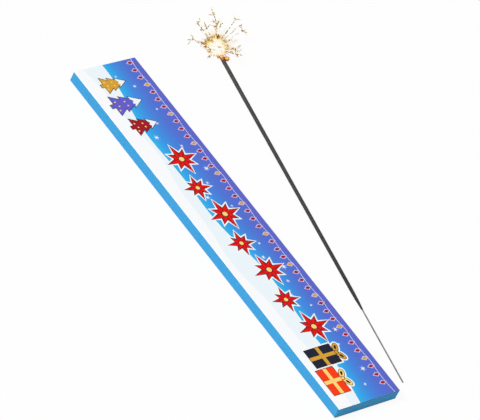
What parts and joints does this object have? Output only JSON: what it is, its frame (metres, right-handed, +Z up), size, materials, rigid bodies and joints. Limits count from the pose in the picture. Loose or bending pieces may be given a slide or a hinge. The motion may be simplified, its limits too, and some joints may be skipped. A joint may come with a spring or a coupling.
{
  "type": "sparkler set",
  "caption": "Flat folding carton with tuck lids holding a row of wire sparklers, and one lit sparkler lying beside it with a ball of fire and sparks at its head.",
  "frame": {"origin": "middle of the carton's underside, where it lies on the table", "axes": "+Y along the carton towards the sparklers' heads, +X towards the lit sparkler, +Z up out of the printed front"},
  "size_m": [0.1408, 0.3007, 0.0238],
  "materials": {
    "printed_card": "satin",
    "steel_wire": "satin",
    "sparkler_coat": "matte",
    "burnt_coat": "matte",
    "hot_slag": "satin",
    "fire": "matte",
    "sparks": "matte"
  },
  "bodies": {
    "carton": {"front_panel": "printed_card", "back_panel": "printed_card", "left_panel": "printed_card", "right_panel": "printed_card", "glue_flap": "printed_card", "dust_flap_far_left": "printed_card", "dust_flap_far_right": "printed_card", "dust_flap_near_left": "printed_card", "dust_flap_near_right": "printed_card", "sparkler_1_wire": "steel_wire", "sparkler_2_wire": "steel_wire", "sparkler_3_wire": "steel_wire", "sparkler_4_wire": "steel_wire", "sparkler_5_wire": "steel_wire", "sparkler_6_wire": "steel_wire", "sparkler_7_wire": "steel_wire", "sparkler_8_wire": "steel_wire", "sparkler_9_wire": "steel_wire", "sparkler_1_coat": "sparkler_coat", "sparkler_2_coat": "sparkler_coat", "sparkler_3_coat": "sparkler_coat", "sparkler_4_coat": "sparkler_coat", "sparkler_5_coat": "sparkler_coat", "sparkler_6_coat": "sparkler_coat", "sparkler_7_coat": "sparkler_coat", "sparkler_8_coat": "sparkler_coat", "sparkler_9_coat": "sparkler_coat"},
    "lid_far": {"lid_far": "printed_card"},
    "tab_far": {"tuck_tab_far": "printed_card"},
    "lid_near": {"lid_near": "printed_card"},
    "tab_near": {"tuck_tab_near": "printed_card"},
    "lit_sparkler": {"lit_wire": "steel_wire", "lit_coat": "sparkler_coat", "burnt_crust": "burnt_coat", "slag_bead": "hot_slag", "fire_core": "fire", "spark_streaks": "sparks", "spark_stars": "sparks"}
  },
  "joints": [
    {"name": "lid_far_crease", "type": "hinge", "parent": "carton", "child": "lid_far", "pos_m": [0, 0.1425, 0.00055], "axis": [-1, 0, 0], "range_deg": [0, 90]},
    {"name": "tab_far_crease", "type": "hinge", "parent": "lid_far", "child": "tab_far", "pos_m": [0, 0.14205, 0.0064], "axis": [-1, 0, 0], "range_deg": [-72, 0]},
    {"name": "lid_near_crease", "type": "hinge", "parent": "carton", "child": "lid_near", "pos_m": [0, -0.1425, 0.00055], "axis": [1, 0, 0], "range_deg": [0, 90]},
    {"name": "tab_near_crease", "type": "hinge", "parent": "lid_near", "child": "tab_near", "pos_m": [0, -0.14205, 0.0064], "axis": [1, 0, 0], "range_deg": [-72, 0]},
    {"name": "lit_sparkler_lift", "type": "slide", "parent": "carton", "child": "lit_sparkler", "axis": [0, 0, 1], "range_m": [0, 0.15]}
  ],
  "couplings": [
    {"joint": "tab_far_crease", "follows": "lid_far_crease", "ratio": -0.8},
    {"joint": "tab_near_crease", "follows": "lid_near_crease", "ratio": -0.8}
  ]
}
